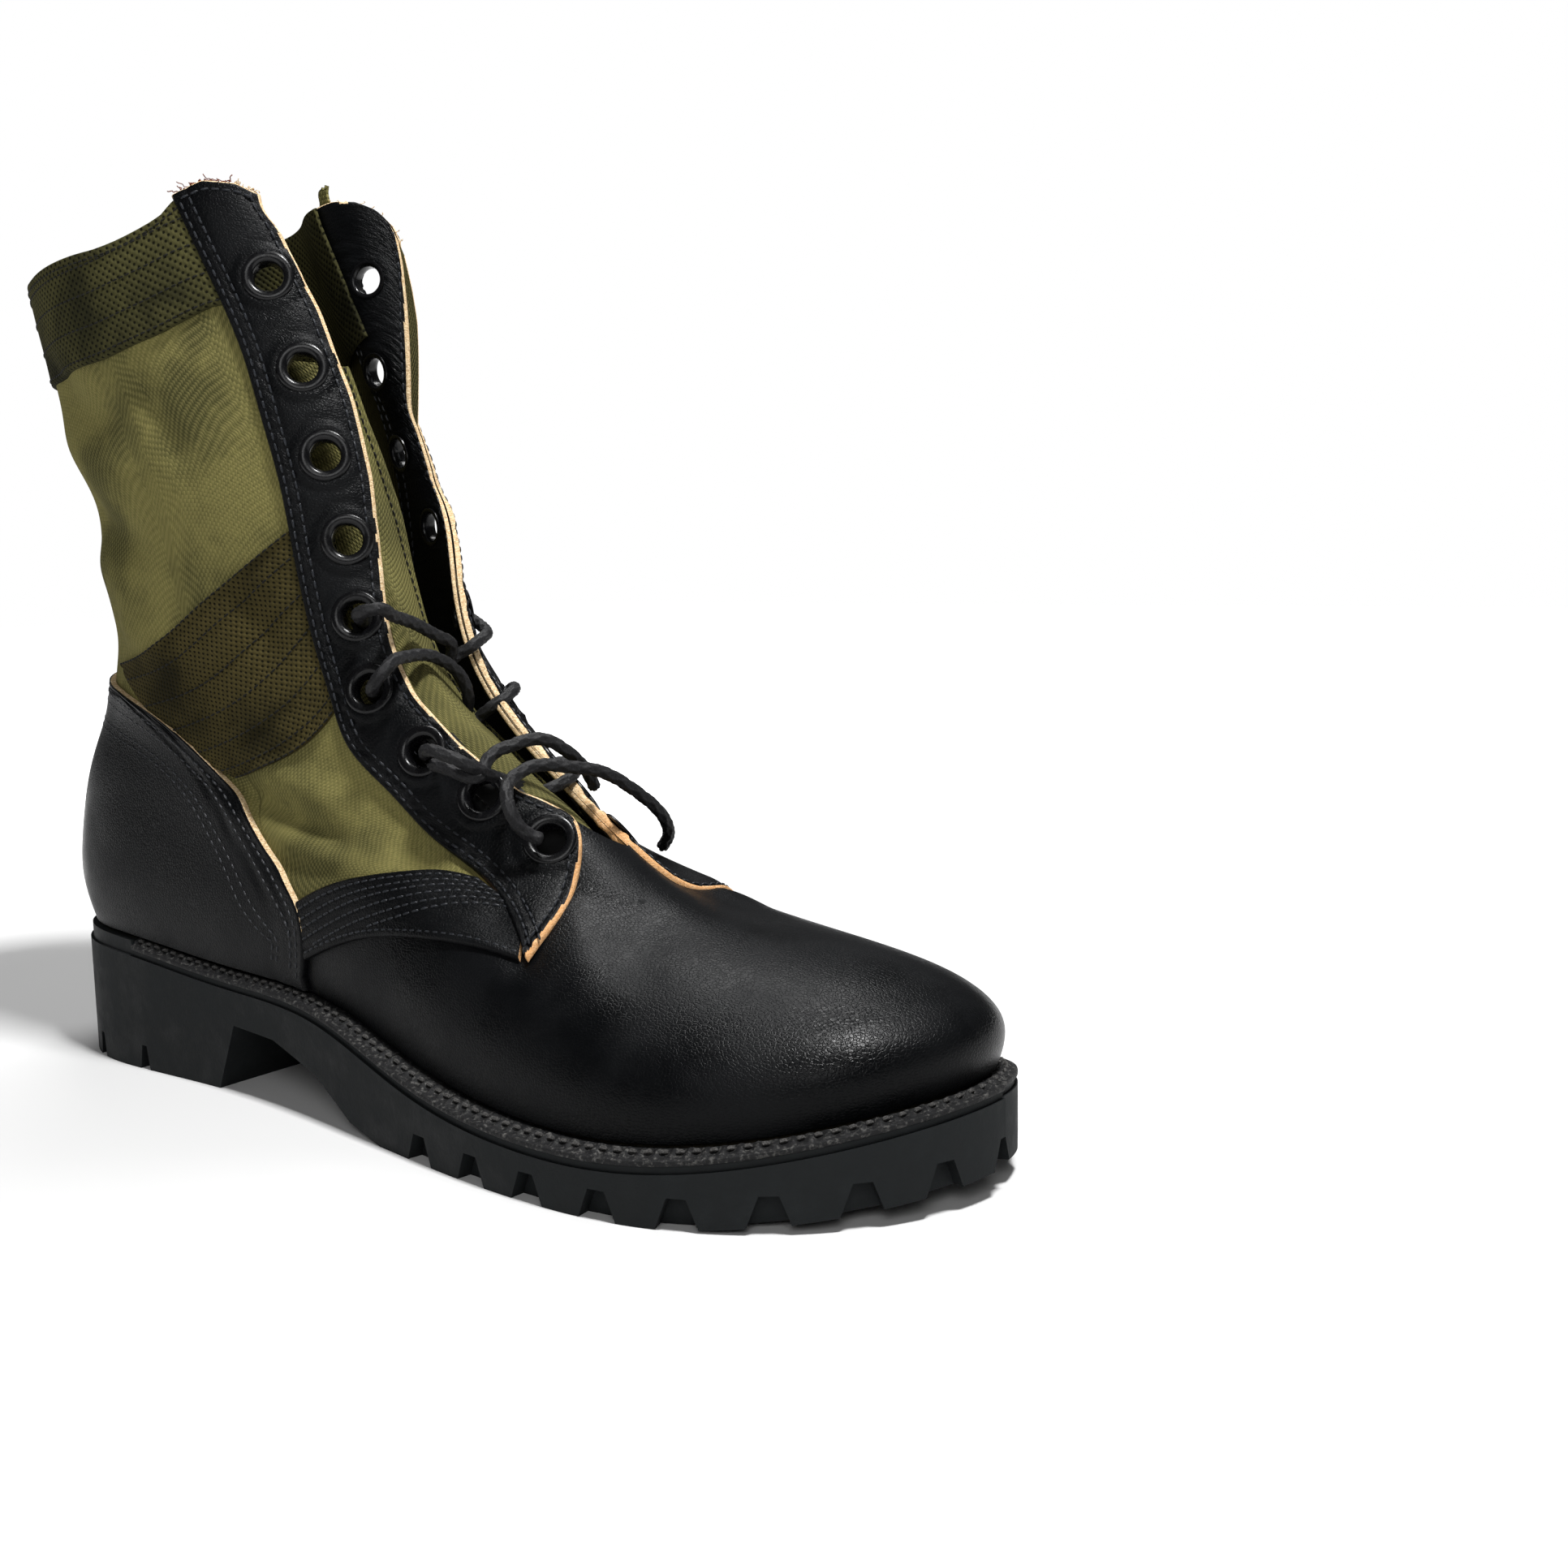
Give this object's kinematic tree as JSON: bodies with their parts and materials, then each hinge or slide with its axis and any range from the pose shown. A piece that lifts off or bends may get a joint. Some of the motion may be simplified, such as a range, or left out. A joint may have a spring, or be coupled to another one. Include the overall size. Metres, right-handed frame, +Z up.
{
  "type": "jungle boot",
  "caption": "Empty right-foot jungle boot: canvas shaft, leather foot and eyelet facings, webbing bands, tongue, lace, drain vents and a lug sole with a heel block.",
  "frame": {"origin": "centre of the boot's box without its loose lace, on the ground under the sole", "axes": "+X to the toe, +Z up, -Y the outer side of the right foot"},
  "size_m": [0.3245, 0.1129, 0.2481],
  "materials": {
    "rubber": "matte black rubber",
    "welt": "ribbed and sewn strip",
    "canvas": "olive plain-weave canvas",
    "webbing": "open olive-brown webbing",
    "leather": "smooth black full-grain, semi-gloss",
    "board": "fibre board",
    "enamel": "black enamel",
    "screen": "dull screened vent",
    "cord": "black braided cord"
  },
  "bodies": {
    "root": {"outsole": "rubber", "midsole": "rubber", "welt": "welt", "insole": "board", "vamp": "leather", "shaft": "canvas", "facing_outer": "leather", "facing_inner": "leather", "counter": "leather", "saddle_outer": "leather", "saddle_inner": "leather", "collar_band": "webbing", "ankle_band_outer": "webbing", "ankle_band_inner": "webbing", "back_strap": "webbing", "tongue": "canvas", "eyelet_outer_1": "enamel", "eyelet_outer_2": "enamel", "eyelet_outer_3": "enamel", "eyelet_outer_4": "enamel", "eyelet_outer_5": "enamel", "eyelet_outer_6": "enamel", "eyelet_outer_7": "enamel", "eyelet_outer_8": "enamel", "eyelet_outer_9": "enamel", "eyelet_inner_1": "enamel", "eyelet_inner_2": "enamel", "eyelet_inner_3": "enamel", "eyelet_inner_4": "enamel", "eyelet_inner_5": "enamel", "eyelet_inner_6": "enamel", "eyelet_inner_7": "enamel", "eyelet_inner_8": "enamel", "eyelet_inner_9": "enamel", "lace_bar_1": "cord", "lace_bar_2": "cord", "lace_bar_3": "cord", "lace_loop": "cord", "lace_tail": "cord", "vent_1": "screen", "vent_2": "screen"}
  },
  "joints": []
}
